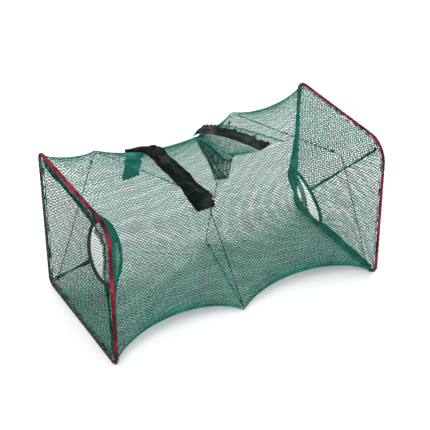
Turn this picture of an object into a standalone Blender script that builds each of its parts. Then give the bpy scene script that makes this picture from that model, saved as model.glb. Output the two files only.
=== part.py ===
"""Folding crab trap: two square wire frames held apart by a square coil spring inside a net tube.

Each end has a netting funnel that leads to a ring, and a hook-and-loop mouth crosses the top.
Metres, +Z up, +X from the left frame to the right frame, +Y to the back. The frames stand on z = 0.
"""
import bmesh
import bpy
from math import atan, atan2, cos, degrees, pi, radians, sin
from mathutils import Euler, Vector

# Driving dimensions
FRAME_SIDE = 0.240          # between the centre lines of opposite legs
TRAP_LENGTH = 0.460         # between the planes of the two frames
FRAME_WIRE_R = 0.0016
BINDING_OUTER_R = 0.0030
BINDING_INNER_R = 0.0019
BINDING_SLIT = radians(90)  # the binding is open over this angle, towards the inside of the trap
BINDING_FACET = radians(30)  # the binding's outside has facets, one of which faces straight down
COIL_WIRE_R = 0.00075
COIL_HALF_WIDTH = 0.098
COIL_CORNER_R = 0.012
RING_R = 0.049
RING_WIRE_R = 0.0023
NET_THICKNESS = 0.0008
STRIP_THICKNESS = 0.0028
NEAR_STRIP_WIDTH = 0.024
FAR_STRIP_WIDTH = 0.018
GAP = 0.0004                # between pieces that touch on the real object

# Places worked out from the driving dimensions
FRAME_X = TRAP_LENGTH / 2
HALF_SIDE = FRAME_SIDE / 2
MIDDLE_Z = HALF_SIDE + BINDING_OUTER_R * cos(BINDING_FACET / 2)
COIL_TOP_Z = MIDDLE_Z + HALF_SIDE - 0.011
COIL_BOTTOM_Z = 0.005
NET_END_X = FRAME_X - BINDING_OUTER_R - GAP - NET_THICKNESS / 2
NET_WAIST = 0.1030          # half width of the net tube where the coil carries it
NET_TOP_Z = COIL_TOP_Z + 0.0045
NET_FLOOR_Z = 0.0022
NET_LIFT = 0.016            # how far the floor net is drawn up between the frame and the coil
NET_SAG = 0.019             # how far the top net hangs between the coil's two upper legs
NET_CORNER_R = 0.012
TAPER_LENGTH = 0.075        # the tube narrows from the frame over this length

# Corner radii of each frame, as seen from the left end
LEFT_CORNERS = {"back_top": 0.012, "front_top": 0.034, "front_bottom": 0.011, "back_bottom": 0.010}
RIGHT_CORNERS = {"back_top": 0.019, "front_top": 0.034, "front_bottom": 0.016, "back_bottom": 0.014}

# Where the coil's corners come along the trap, in the order in which the wire passes them
COIL_CORNERS = [
    ("back_top", -0.150), ("front_top", -0.066), ("front_bottom", 0.000),
    ("back_bottom", 0.040), ("back_top", 0.090), ("front_top", 0.168),
]
COIL_END_X = NET_END_X - 0.003
COIL_END_Y = 0.107
COIL_END_Z = 0.012

# The entrance rings: centre, and the tilt of the axis out of +X as (pitch, yaw)
LEFT_RING = (Vector((-0.1836, 0.005, 0.114)), (radians(11), radians(3)))
RIGHT_RING = (Vector((0.1700, 0.001, 0.103)), (radians(-17), radians(-5)))

# The mouth, as points (x, y) on the top of the tube
MOUTH_BACK = (0.018, 0.097)
MOUTH_FRONT = (-0.032, -0.066)
HINGE_BACK = (0.046, 0.094)
HINGE_FRONT = (0.108, -0.024)
STRIP_BACK = (0.022, 0.094)
STRIP_FRONT = (0.084, -0.026)
STRIP_LEAN = Vector((0.30, 0.15, 0.94)).normalized()
HEM_R = 0.0009


def clear_scene():
    for found in list(bpy.data.objects):
        bpy.data.objects.remove(found)


def new_material(name, colour, roughness, metallic=0.0):
    made = bpy.data.materials.new(name)
    made.use_nodes = True
    shader = made.node_tree.nodes["Principled BSDF"]
    shader.inputs["Base Color"].default_value = (*colour, 1.0)
    shader.inputs["Roughness"].default_value = roughness
    shader.inputs["Metallic"].default_value = metallic
    return made


def add_object(name, data, material, smooth_angle=None):
    made = bpy.data.objects.new(name, data)
    PARTS.objects.link(made)
    data.materials.append(material)
    if smooth_angle is not None:
        data.shade_smooth()
        data.set_sharp_from_angle(angle=smooth_angle)
    return made


def smooth_step(t):
    t = min(max(t, 0.0), 1.0)
    return t * t * (3 - 2 * t)


def rounded_square_point(angle, corners):
    """The point (y, z) at this angle on a square of half side 1 with its own radius at each corner."""
    y, z = cos(angle), sin(angle)
    scale = 1 / max(abs(y), abs(z))
    name = ("back" if y > 0 else "front") + ("_top" if z > 0 else "_bottom")
    radius = corners[name]
    reach = 1 - radius
    if abs(y) * scale <= reach or abs(z) * scale <= reach:
        return y * scale, z * scale
    # the ray from the centre meets the corner's arc
    along = (abs(y) + abs(z)) * reach
    scale = along + (along * along - (2 * reach * reach - radius * radius)) ** 0.5
    return y * scale, z * scale


def tube_section(x):
    """Half width, lowest and highest z, and the corner radii of the net tube at x."""
    inward = smooth_step((NET_END_X - abs(x)) / TAPER_LENGTH)
    half_width = HALF_SIDE - 0.002 + inward * (NET_WAIST - HALF_SIDE + 0.002)
    top = MIDDLE_Z + HALF_SIDE - 0.002
    top += inward * (NET_TOP_Z - top)
    from_coil = abs(x - 0.020) - 0.035
    bay = (FRAME_X if x > 0.020 else FRAME_X + 0.040) - 0.055
    lift = sin(pi * min(max(from_coil / bay, 0.0), 1.0)) ** 2
    bottom = BINDING_OUTER_R + 0.002
    bottom += inward * (NET_FLOOR_Z + NET_LIFT * lift - bottom)
    ends = LEFT_CORNERS if x < 0 else RIGHT_CORNERS
    corners = {k: r + inward * (NET_CORNER_R - r) for k, r in ends.items()}
    return half_width, bottom, top, corners


def top_sag(x, y):
    """How far the net hangs at (x, y) between the coil's two upper legs, which run aslant across the top."""
    to_front = (COIL_HALF_WIDTH - y) / (2 * COIL_HALF_WIDTH)
    start = COIL_CORNERS[0][1] + to_front * (COIL_CORNERS[1][1] - COIL_CORNERS[0][1]) + 0.010
    end = COIL_CORNERS[4][1] + to_front * (COIL_CORNERS[5][1] - COIL_CORNERS[4][1]) - 0.010
    t = min(max((x - start) / (end - start), 0.0), 1.0)
    return NET_SAG * sin(pi * t)


def tube_point(x, angle, outward=0.0):
    half_width, bottom, top, corners = tube_section(x)
    scaled = {k: r / half_width for k, r in corners.items()}
    y, z = rounded_square_point(angle, scaled)
    half_height = (top - bottom) / 2
    middle = (top + bottom) / 2
    sag = top_sag(x, half_width * y) * smooth_step(z)
    return Vector((x, (half_width + outward) * y, middle + (half_height + outward) * z - sag))


def on_top(x, y, rise=0.0):
    """The point of the top net at (x, y), or one this far above it."""
    half_width = tube_section(x)[0]
    point = tube_point(x, atan2(half_width, y))
    return Vector((x, y, point.z + rise))


def sheet(name, columns, rows, place, thickness, material):
    """A grid whose corners run from (0, 0) to (1, 1), each point put in place(u, v), with Solidify."""
    made = bmesh.new()
    bmesh.ops.create_grid(made, x_segments=columns, y_segments=rows, size=0.5)
    for vertex in made.verts:
        vertex.co = place(vertex.co.x + 0.5, vertex.co.y + 0.5)
    data = bpy.data.meshes.new(name)
    made.to_mesh(data)
    made.free()
    found = add_object(name, data, material, radians(40))
    solid = found.modifiers.new("thickness", "SOLIDIFY")
    solid.thickness = thickness
    solid.offset = 0.0
    return found


def wire(name, points, radius, material, closed=False, resolution=1):
    """A round wire along these points, as a POLY spline."""
    data = bpy.data.curves.new(name, "CURVE")
    data.dimensions = "3D"
    data.bevel_depth = radius
    data.bevel_resolution = resolution
    data.use_fill_caps = not closed
    line = data.splines.new("POLY")
    line.points.add(len(points) - 1)
    for spot, point in zip(line.points, points):
        spot.co = (*point, 1.0)
    line.use_cyclic_u = closed
    return add_object(name, data, material)


def frame_outline(corners):
    """The centre line of a frame in its own plane, as (y, z) from its middle, anticlockwise."""
    outline = []
    order = [("back_top", 1, 1), ("front_top", -1, 1), ("front_bottom", -1, -1), ("back_bottom", 1, -1)]
    for turn, (name, side, rise) in enumerate(order):
        radius = corners[name]
        centre_y, centre_z = side * (HALF_SIDE - radius), rise * (HALF_SIDE - radius)
        for step in range(6):
            angle = turn * pi / 2 + step / 5 * pi / 2
            outline.append((centre_y + radius * cos(angle), centre_z + radius * sin(angle)))
    return outline


def frame_wire(name, x, corners):
    points = [(x, y, MIDDLE_Z + z) for y, z in frame_outline(corners)]
    return wire(name, points, FRAME_WIRE_R, STEEL, closed=True)


def frame_binding(name, x, corners, inside):
    """A tape folded round the wire, open on the side that faces the net: inside is +1 or -1 along X."""
    steps = round((2 * pi - BINDING_SLIT) / BINDING_FACET)
    half_open = BINDING_SLIT / 2
    turns = [half_open + (2 * pi - BINDING_SLIT) * step / steps for step in range(steps + 1)]
    profile = [(BINDING_OUTER_R, t) for t in turns] + [(BINDING_INNER_R, t) for t in reversed(turns)]
    outline = frame_outline(corners)
    made = bmesh.new()
    rings = []
    for number, (y, z) in enumerate(outline):
        before, after = outline[number - 1], outline[(number + 1) % len(outline)]
        along = Vector((0, after[0] - before[0], after[1] - before[1])).normalized()
        outward = along.cross(Vector((1, 0, 0)))
        middle = Vector((x, y, MIDDLE_Z + z))
        ring = []
        for radius, turn in profile:
            across = Vector((inside, 0, 0)) * cos(turn) + outward * sin(turn)
            ring.append(made.verts.new(middle + radius * across))
        rings.append(ring)
    for number, ring in enumerate(rings):
        following = rings[(number + 1) % len(rings)]
        for k in range(len(ring)):
            m = (k + 1) % len(ring)
            made.faces.new((ring[k], ring[m], following[m], following[k]))
    bmesh.ops.recalc_face_normals(made, faces=made.faces)
    data = bpy.data.meshes.new(name)
    made.to_mesh(data)
    made.free()
    return add_object(name, data, RED_TAPE, radians(40))


def coil_corner(name, x):
    side = 1 if name.startswith("back") else -1
    z = COIL_TOP_Z if name.endswith("top") else COIL_BOTTOM_Z
    return Vector((x, side * COIL_HALF_WIDTH, z))


def coil_route():
    """The coil's straight legs with a fillet at each corner."""
    corners = [Vector((-COIL_END_X, COIL_END_Y, COIL_END_Z))]
    corners += [coil_corner(*c) for c in COIL_CORNERS]
    corners += [Vector((COIL_END_X, -COIL_END_Y, COIL_END_Z))]
    route = [corners[0]]
    for before, here, after in zip(corners, corners[1:], corners[2:]):
        into, out = (before - here).normalized(), (after - here).normalized()
        for step in range(6):
            t = step / 5
            start, end = here + into * COIL_CORNER_R, here + out * COIL_CORNER_R
            route.append(start * (1 - t) ** 2 + here * 2 * t * (1 - t) + end * t * t)
    return route + [corners[-1]], corners


def torus(name, centre, axis, major, minor, turns, sides, material):
    made = bmesh.new()
    bmesh.ops.create_circle(made, segments=sides, radius=minor)
    for vertex in made.verts:
        vertex.co = Vector((major + vertex.co.x, 0, vertex.co.y))
    bmesh.ops.spin(
        made, geom=made.verts[:] + made.edges[:], cent=(0, 0, 0), axis=(0, 0, 1),
        angle=2 * pi, steps=turns, use_merge=True,
    )
    bmesh.ops.remove_doubles(made, verts=made.verts, dist=1e-6)
    bmesh.ops.recalc_face_normals(made, faces=made.faces)
    data = bpy.data.meshes.new(name)
    made.to_mesh(data)
    made.free()
    found = add_object(name, data, material, radians(60))
    found.location = centre
    found.rotation_euler = Vector(axis).to_track_quat("Z", "Y").to_euler()
    return found


def ring_axis(tilt):
    return Euler((0, tilt[0], tilt[1])).to_matrix() @ Vector((1, 0, 0))


def ring_point(ring, angle, radius):
    """A point of the ring, at the angle that the frame's point has."""
    centre, tilt = ring
    turned = Euler((0, tilt[0], tilt[1])).to_matrix()
    return centre + turned @ Vector((0, radius * cos(angle), radius * sin(angle)))


def funnel_gusset(name, side, ring, corners, middle_angle):
    """One of four net gussets between a frame's leg and a quarter of the ring. side is -1 or +1."""
    inner = {k: r / HALF_SIDE for k, r in corners.items()}
    spread = pi / 4 - 0.02
    start_x = side * (FRAME_X - BINDING_OUTER_R - GAP - NET_THICKNESS)
    clear = RING_R + RING_WIRE_R + GAP + NET_THICKNESS

    def place(u, v):
        angle = middle_angle + (2 * u - 1) * spread
        y, z = rounded_square_point(angle, inner)
        reach = HALF_SIDE - 0.006
        at_frame = Vector((start_x, y * reach, MIDDLE_Z + z * reach))
        return at_frame.lerp(ring_point(ring, angle, clear), v)

    return sheet(name, 8, 3, place, NET_THICKNESS, NET)


def mouth_edge(y, back, front, beyond):
    """x of an edge of the mouth at y: straight from back to front, and held at beyond past the front."""
    if y < front[1]:
        t = min((front[1] - y) / 0.02, 1.0)
        return front[0] + t * (beyond - front[0])
    t = min(max((y - front[1]) / (back[1] - front[1]), 0.0), 1.0)
    return front[0] + t * (back[0] - front[0])


def body_panel(name, middle_angle, columns=24, edge=None):
    """A side of the net tube, with closer rows at its corners. edge(y, u) gives x where it stops at the mouth."""

    def place(u, v):
        angle = middle_angle + atan(0.982 * sin((v - 0.5) * pi))
        x = (2 * u - 1) * NET_END_X
        if edge:
            x = edge(tube_point(0, angle).y, u)
        return tube_point(x, angle)

    return sheet(name, columns, 8, place, NET_THICKNESS, NET)


def top_near_edge(y, u):
    end = mouth_edge(y, MOUTH_BACK, MOUTH_FRONT, MOUTH_FRONT[0])
    return -NET_END_X + u * (end + NET_END_X)


def top_far_edge(y, u):
    start = mouth_edge(y, HINGE_BACK, HINGE_FRONT, MOUTH_FRONT[0] + 0.004)
    return start + u * (NET_END_X - start)


def near_strip():
    """A tape laid over the top from front to back, whose tail hangs down behind."""
    rise = STRIP_THICKNESS / 2 + NET_THICKNESS / 2 + 5 * GAP
    bends = [(0.0, 133), (0.5, 55), (5 / 6, 35), (1.0, 15)]  # closer columns round the back edge

    def place(u, v):
        for (before, start), (after, end) in zip(bends, bends[1:]):
            if u <= after + 1e-6:
                angle = radians(start + (u - before) / (after - before) * (end - start))
                break
        across = smooth_step((63 - degrees(angle)) / 45)
        x = -0.066 - 0.034 * across + NEAR_STRIP_WIDTH * (v - 0.5)
        return tube_point(x, angle, rise)

    return sheet("near_closure_strip", 24, 2, place, STRIP_THICKNESS, HOOK_TAPE)


def strip_spot(u):
    """The foot of the far strip on the top of the tube, from its back end to its front end."""
    x = STRIP_BACK[0] + u * (STRIP_FRONT[0] - STRIP_BACK[0])
    y = STRIP_BACK[1] + u * (STRIP_FRONT[1] - STRIP_BACK[1])
    return on_top(x, y, 0.0045)


def strip_width(u):
    """The far strip's width, which is pinched at its two ends."""
    return FAR_STRIP_WIDTH * (0.3 + 0.7 * sin(pi * min(max(u, 0.04), 0.96)) ** 0.5)


def far_strip():
    """A tape on the lip of the mouth that stands up off the net, its face to the front."""

    def place(u, v):
        return strip_spot(u) + STRIP_LEAN * strip_width(u) * v

    return sheet("far_closure_strip", 14, 2, place, STRIP_THICKNESS * 0.6, LOOP_TAPE)


def mouth_flap():
    """The net between the far strip and the seam that it folds on."""

    def place(u, v):
        x = HINGE_BACK[0] + u * (HINGE_FRONT[0] - HINGE_BACK[0])
        y = HINGE_BACK[1] + u * (HINGE_FRONT[1] - HINGE_BACK[1])
        seam = on_top(x, y, 0.0035)
        lip = strip_spot(u) + STRIP_LEAN * strip_width(u) * 0.6 + Vector((0.0035, 0.0018, 0.0))
        return seam.lerp(lip, v)

    return sheet("mouth_flap_net", 14, 2, place, NET_THICKNESS, NET)


def mouth_hem(name, back, front, rise, drawn_in):
    """A rolled hem along an edge of the mouth, with its ends drawn in."""
    points = []
    for step in range(9):
        t = drawn_in + (1 - 2 * drawn_in) * step / 8
        x, y = back[0] + t * (front[0] - back[0]), back[1] + t * (front[1] - back[1])
        points.append(on_top(x, y, rise))
    return wire(name, points, HEM_R, CORD)


def build():
    left_x, right_x = -FRAME_X, FRAME_X
    frame_wire("left_frame_wire", left_x, LEFT_CORNERS)
    frame_wire("right_frame_wire", right_x, RIGHT_CORNERS)
    frame_binding("left_frame_binding", left_x, LEFT_CORNERS, 1)
    frame_binding("right_frame_binding", right_x, RIGHT_CORNERS, -1)

    route, corners = coil_route()
    wire("coil_spring", route, COIL_WIRE_R, SPRING_WIRE)
    tie_major, tie_minor = COIL_WIRE_R + 0.0008, 0.0004
    for number in range(1, 7):
        along = (corners[number] - corners[number - 1]).normalized()
        centre = corners[number] - along * (COIL_CORNER_R + 0.006)
        torus(f"coil_tie_{number}", centre, along, tie_major, tie_minor, 8, 6, CORD)
    first = (corners[1] - corners[0]).normalized()
    last = (corners[-2] - corners[-1]).normalized()
    torus("left_end_tie", corners[0] + first * 0.004, first, tie_major, tie_minor, 8, 6, CORD)
    torus("right_end_tie", corners[-1] + last * 0.004, last, tie_major, tie_minor, 8, 6, CORD)

    for name, ring in (("left_entrance_ring", LEFT_RING), ("right_entrance_ring", RIGHT_RING)):
        torus(name, ring[0], ring_axis(ring[1]), RING_R, RING_WIRE_R, 28, 8, RING_PLASTIC)
    for side_name, side, ring, ends in (
        ("left", -1, LEFT_RING, LEFT_CORNERS), ("right", 1, RIGHT_RING, RIGHT_CORNERS),
    ):
        for turn, edge in enumerate(("back", "top", "front", "bottom")):
            funnel_gusset(f"{side_name}_funnel_{edge}", side, ring, ends, turn * pi / 2)

    body_panel("net_back", 0.0)
    body_panel("net_front", pi)
    body_panel("net_bottom", 3 * pi / 2)
    body_panel("net_top_near", pi / 2, columns=12, edge=top_near_edge)
    body_panel("net_top_far", pi / 2, columns=12, edge=top_far_edge)

    near_strip()
    far_strip()
    mouth_flap()
    hem_shift = 0.0035
    near_back = (MOUTH_BACK[0] + hem_shift, MOUTH_BACK[1])
    near_front = (MOUTH_FRONT[0] + hem_shift, MOUTH_FRONT[1])
    mouth_hem("mouth_near_hem", near_back, near_front, 0.0, 0.03)
    far_back = (HINGE_BACK[0] + hem_shift, HINGE_BACK[1])
    far_front = (HINGE_FRONT[0] + hem_shift, HINGE_FRONT[1])
    mouth_hem("mouth_far_hem", far_back, far_front, 0.0035, 0.0)


clear_scene()
PARTS = bpy.data.collections.new("folding_crab_trap")
bpy.context.scene.collection.children.link(PARTS)
STEEL = new_material("steel", (0.30, 0.31, 0.30), 0.45, 0.9)
SPRING_WIRE = new_material("spring_wire", (0.22, 0.27, 0.25), 0.4, 0.8)
RED_TAPE = new_material("red_tape", (0.48, 0.035, 0.05), 0.8)
RING_PLASTIC = new_material("ring_plastic", (0.01, 0.05, 0.035), 0.5)
NET = new_material("net", (0.02, 0.12, 0.08), 0.6)
CORD = new_material("cord", (0.01, 0.07, 0.05), 0.8)
HOOK_TAPE = new_material("hook_tape", (0.008, 0.02, 0.018), 0.9)
LOOP_TAPE = new_material("loop_tape", (0.03, 0.032, 0.032), 0.9)
build()
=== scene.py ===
"""Looks of the folding crab trap: knotless netting over a square coil between two bound wire frames.

Metres, +Z up, +X from the left frame to the right frame, +Y to the back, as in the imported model.
A place on the net tube is (x, t), where t runs once round the tube: 0 is the middle of the back,
1/4 the middle of the top, 1/2 the middle of the front and 3/4 the middle of the bottom.
"""
from math import cos, pi, radians, sin

import bpy
import numpy as np
from mathutils import Euler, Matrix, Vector


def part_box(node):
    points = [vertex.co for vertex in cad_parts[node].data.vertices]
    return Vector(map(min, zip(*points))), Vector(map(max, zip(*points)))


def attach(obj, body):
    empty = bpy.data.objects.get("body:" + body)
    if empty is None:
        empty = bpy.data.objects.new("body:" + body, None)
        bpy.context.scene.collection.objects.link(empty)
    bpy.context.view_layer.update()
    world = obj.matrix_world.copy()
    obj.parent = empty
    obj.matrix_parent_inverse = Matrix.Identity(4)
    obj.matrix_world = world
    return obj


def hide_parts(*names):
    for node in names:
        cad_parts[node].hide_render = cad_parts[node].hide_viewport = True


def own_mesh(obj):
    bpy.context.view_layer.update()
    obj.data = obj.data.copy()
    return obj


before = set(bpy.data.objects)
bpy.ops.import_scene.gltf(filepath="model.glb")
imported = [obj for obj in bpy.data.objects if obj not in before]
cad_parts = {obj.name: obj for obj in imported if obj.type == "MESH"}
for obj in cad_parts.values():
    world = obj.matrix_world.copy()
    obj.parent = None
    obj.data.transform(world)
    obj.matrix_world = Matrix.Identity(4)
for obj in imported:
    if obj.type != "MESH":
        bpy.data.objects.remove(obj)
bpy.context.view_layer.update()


# ---------------------------------------------------------------- sizes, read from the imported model

def middle(node):
    low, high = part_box(node)
    return [(a + b) / 2 for a, b in zip(low, high)]


def extent(node):
    low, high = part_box(node)
    return [b - a for a, b in zip(low, high)]


LEFT_X = middle("left_frame_wire")[0]
RIGHT_X = middle("right_frame_wire")[0]
FRAME_WIRE_R = extent("left_frame_wire")[0] / 2
HALF_SIDE = extent("left_frame_wire")[1] / 2 - FRAME_WIRE_R
MIDDLE_Z = middle("left_frame_wire")[2]
BINDING_R = extent("left_frame_binding")[1] / 2 - HALF_SIDE
LEFT_RING_MIDDLE = middle("left_entrance_ring")
RIGHT_RING_MIDDLE = middle("right_entrance_ring")

# The rest repeats the driving dimensions of the part
LEFT_CORNERS = (0.012, 0.034, 0.011, 0.010)     # back top, front top, front bottom, back bottom
RIGHT_CORNERS = (0.019, 0.034, 0.016, 0.014)
COIL_WIRE_R = 0.00075
COIL_HALF_WIDTH = 0.098
COIL_TOP_Z = MIDDLE_Z + HALF_SIDE - 0.011
COIL_BOTTOM_Z = 0.005
COIL_CORNER_R = 0.012
COIL_END_X = RIGHT_X - 0.0068
COIL_CORNERS = ((-0.150, 1), (-0.066, 3), (0.000, 5), (0.040, 7), (0.090, 9), (0.168, 11))
RING_R = 0.049
RING_WIRE_R = 0.0023
LEFT_TILT = (radians(11), radians(3))
RIGHT_TILT = (radians(-17), radians(-5))

# The mouth, as points (x, y) on top
MOUTH_BACK = (0.018, 0.097)
HINGE_BACK = (0.046, 0.094)
HINGE_FRONT = (0.108, -0.024)

# The netting
YARN_R = 0.00050
FUNNEL_YARN_R = 0.00056
SPARSE_YARN_R = 0.00040     # the left funnel's front net, thinned because it is seen nearly edge on
HALF_MESH = 0.00325         # half a mesh's diagonal
FOLD_KEEP = 0.087           # folded length over open length
LEFT_FUNNEL_KEEP = 0.03
RIGHT_FUNNEL_KEEP = 0.083


# ---------------------------------------------------------------- materials

def new_material(name, roughness, metallic=0.0, sheen=0.0, specular=0.5):
    made = bpy.data.materials.new(name)
    made.use_nodes = True
    shader = made.node_tree.nodes["Principled BSDF"]
    shader.inputs["Roughness"].default_value = roughness
    shader.inputs["Metallic"].default_value = metallic
    shader.inputs["Sheen Weight"].default_value = sheen
    shader.inputs["Specular IOR Level"].default_value = specular
    return made, made.node_tree, shader


def node(tree, kind, **values):
    made = tree.nodes.new(kind)
    for name, value in values.items():
        if hasattr(made, name):
            setattr(made, name, value)
        else:
            made.inputs[name.replace("_", " ")].default_value = value
    return made


def noise(tree, scale, detail=3.0, stretch=(1, 1, 1)):
    place = node(tree, "ShaderNodeTexCoord")
    mapping = node(tree, "ShaderNodeMapping")
    mapping.inputs["Scale"].default_value = stretch
    made = node(tree, "ShaderNodeTexNoise", Scale=scale, Detail=detail)
    tree.links.new(place.outputs["Object"], mapping.inputs["Vector"])
    tree.links.new(mapping.outputs["Vector"], made.inputs["Vector"])
    return made


def ramp(tree, source, stops):
    made = node(tree, "ShaderNodeValToRGB")
    made.color_ramp.elements[0].position, made.color_ramp.elements[0].color = stops[0][0], (*stops[0][1], 1)
    made.color_ramp.elements[1].position, made.color_ramp.elements[1].color = stops[-1][0], (*stops[-1][1], 1)
    for position, colour in stops[1:-1]:
        made.color_ramp.elements.new(position).color = (*colour, 1)
    tree.links.new(source, made.inputs["Fac"])
    return made.outputs["Color"]


def bump(tree, shader, source, strength, distance):
    made = node(tree, "ShaderNodeBump", Strength=strength, Distance=distance)
    tree.links.new(source, made.inputs["Height"])
    tree.links.new(made.outputs["Normal"], shader.inputs["Normal"])


def yarn_material(name, dark, middle_colour, light, scale=900.0):
    """Twisted green twine: its colour wanders along the net and its fibres show as fine bumps."""
    made, tree, shader = new_material(name, 0.7, sheen=0.0, specular=0.08)
    broad = noise(tree, 45.0, 4.0)
    colour = ramp(tree, broad.outputs["Fac"], ((0.32, dark), (0.5, middle_colour), (0.7, light)))
    tree.links.new(colour, shader.inputs["Base Color"])
    bump(tree, shader, noise(tree, scale, 2.0).outputs["Fac"], 0.5, 0.0002)
    return made


def tape_material(name, dark, middle_colour, light, roughness=0.8):
    """Woven tape: a plain weave, with worn and darker places; on the hook tape the lightest places are
    painted highlight.
    """
    made, tree, shader = new_material(name, roughness, sheen=0.0, specular=0.12)
    place = node(tree, "ShaderNodeTexCoord")
    wear_and_highlight = noise(tree, 38.0, 5.0)
    colour = ramp(tree, wear_and_highlight.outputs["Fac"], ((0.35, dark), (0.5, middle_colour), (0.66, light)))
    tree.links.new(colour, shader.inputs["Base Color"])
    weave = []
    for direction in ("X", "Y", "Z"):
        wave = node(tree, "ShaderNodeTexWave", bands_direction=direction, Scale=420.0, Distortion=0.6)
        tree.links.new(place.outputs["Object"], wave.inputs["Vector"])
        weave.append(wave.outputs["Fac"])
    both = node(tree, "ShaderNodeMath", operation="MULTIPLY")
    tree.links.new(weave[1], both.inputs[0])
    tree.links.new(weave[2], both.inputs[1])
    every = node(tree, "ShaderNodeMath", operation="ADD")
    tree.links.new(both.outputs[0], every.inputs[0])
    tree.links.new(weave[0], every.inputs[1])
    bump(tree, shader, every.outputs[0], 0.6, 0.0003)
    return made


def metal_material(name, colour, spots, roughness):
    made, tree, shader = new_material(name, roughness, metallic=0.85)
    speckle = noise(tree, 160.0, 5.0)
    painted = ramp(tree, speckle.outputs["Fac"], ((0.4, colour), (0.68, spots)))
    tree.links.new(painted, shader.inputs["Base Color"])
    bump(tree, shader, speckle.outputs["Fac"], 0.15, 0.0001)
    return made


def plastic_material(name, colour, rubbed):
    made, tree, shader = new_material(name, 0.42, specular=0.5)
    patches = noise(tree, 70.0, 4.0)
    painted = ramp(tree, patches.outputs["Fac"], ((0.45, colour), (0.75, rubbed)))
    tree.links.new(painted, shader.inputs["Base Color"])
    bump(tree, shader, noise(tree, 380.0, 2.0).outputs["Fac"], 0.2, 0.0002)
    return made


def floor_material():
    made, tree, shader = new_material("pale_floor", 0.9, specular=0.1)
    grain = noise(tree, 3.0, 2.0)
    painted = ramp(tree, grain.outputs["Fac"], ((0.3, (0.93,) * 3), (0.7, (0.96,) * 3)))
    tree.links.new(painted, shader.inputs["Base Color"])
    return made


NET_YARN = yarn_material("net_yarn", (0.004, 0.092, 0.065), (0.008, 0.150, 0.110), (0.022, 0.240, 0.185))
# The funnels' net is the body net's twine, coloured darker as painted shade inside the trap
SHADED_FUNNEL_YARN = yarn_material(
    "funnel_yarn_painted_shade", (0.003, 0.062, 0.043), (0.006, 0.105, 0.075), (0.016, 0.180, 0.135),
)
# Gathered and rolled net (funnel seams, hems, ring veils) is the same twine, coloured darker as painted shade
# in its folds
SHADED_SEAM_YARN = yarn_material("seam_yarn_painted_shade", (0.002, 0.036, 0.023), (0.006, 0.085, 0.055), (0.014, 0.150, 0.102))
# The mouth's folded ear: the same twine again, coloured darker still as painted shade in the fold
SHADED_POCKET_YARN = yarn_material(
    "pocket_yarn_painted_shade", (0.001, 0.022, 0.016), (0.003, 0.048, 0.036), (0.008, 0.110, 0.085),
)
CORD = yarn_material("lashing_cord", (0.0008, 0.008, 0.006), (0.002, 0.018, 0.013), (0.006, 0.042, 0.031))
RED_TAPE = tape_material("red_tape", (0.030, 0.003, 0.007), (0.160, 0.008, 0.018), (0.340, 0.020, 0.038))
# The black hook tape's lightest stop is painted highlight for the light on its ribs, scattered by the noise
HIGHLIGHTED_HOOK_TAPE = tape_material(
    "hook_tape", (0.0008, 0.0035, 0.0030), (0.0030, 0.0080, 0.0070), (0.0220, 0.0320, 0.0290), 0.75,
)
LOOP_TAPE = tape_material(
    "loop_tape", (0.010, 0.018, 0.016), (0.025, 0.039, 0.035), (0.075, 0.092, 0.085), 0.9,
)
# The strip's tail is the hook tape itself, coloured darker and greener as painted shade behind the net
SHADED_TAIL_TAPE = tape_material(
    "tail_tape_painted_shade", (0.0004, 0.0030, 0.0020), (0.0008, 0.0050, 0.0036), (0.0015, 0.0090, 0.0065), 0.9,
)
STEEL = metal_material("frame_steel", (0.30, 0.31, 0.30), (0.12, 0.09, 0.07), 0.45)
SPRING_STEEL = metal_material("spring_steel", (0.035, 0.065, 0.055), (0.015, 0.030, 0.025), 0.42)
RING_PLASTIC = plastic_material("ring_plastic", (0.001, 0.010, 0.007), (0.006, 0.036, 0.027))


# ---------------------------------------------------------------- meshes made of yarns and tubes

class Shape:
    """Vertices and faces gathered for one piece."""

    def __init__(self):
        self.points, self.faces, self.count = [], [], 0

    def add(self, points, faces):
        self.points.append(np.asarray(points, float))
        self.faces.extend((np.asarray(f) + self.count).tolist() for f in faces)
        self.count += len(points)
        return self

    def mesh(self, name, material):
        data = bpy.data.meshes.new(name)
        data.from_pydata(np.concatenate(self.points).tolist(), [], self.faces)
        data.shade_smooth()
        data.set_sharp_from_angle(angle=radians(75))
        data.materials.append(material)
        made = bpy.data.objects.new(name, data)
        bpy.context.scene.collection.objects.link(made)
        return made


def unit(vectors):
    return vectors / np.maximum(np.linalg.norm(vectors, axis=-1, keepdims=True), 1e-12)


def straight_yarns(shape, starts, ends, radius):
    """A closed three-sided yarn from each start to its end."""
    along = unit(ends - starts)
    helper = np.where(np.abs(along[:, 2:]) < 0.9, (0.0, 0.0, 1.0), (1.0, 0.0, 0.0))
    side = unit(np.cross(along, helper))
    other = np.cross(along, side)
    corners = []
    for base in (starts, ends):
        for turn in range(3):
            angle = 2 * pi * turn / 3 + pi / 2
            corners.append(base + radius * (cos(angle) * side + sin(angle) * other))
    points = np.stack(corners, axis=1).reshape(-1, 3)
    first = 6 * np.arange(len(starts))[:, None]
    shape.points.append(points)
    for pattern in ((0, 1, 4, 3), (1, 2, 5, 4), (2, 0, 3, 5), (2, 1, 0), (3, 4, 5)):
        shape.faces.extend((first + np.array(pattern) + shape.count).tolist())
    shape.count += len(points)


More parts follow.
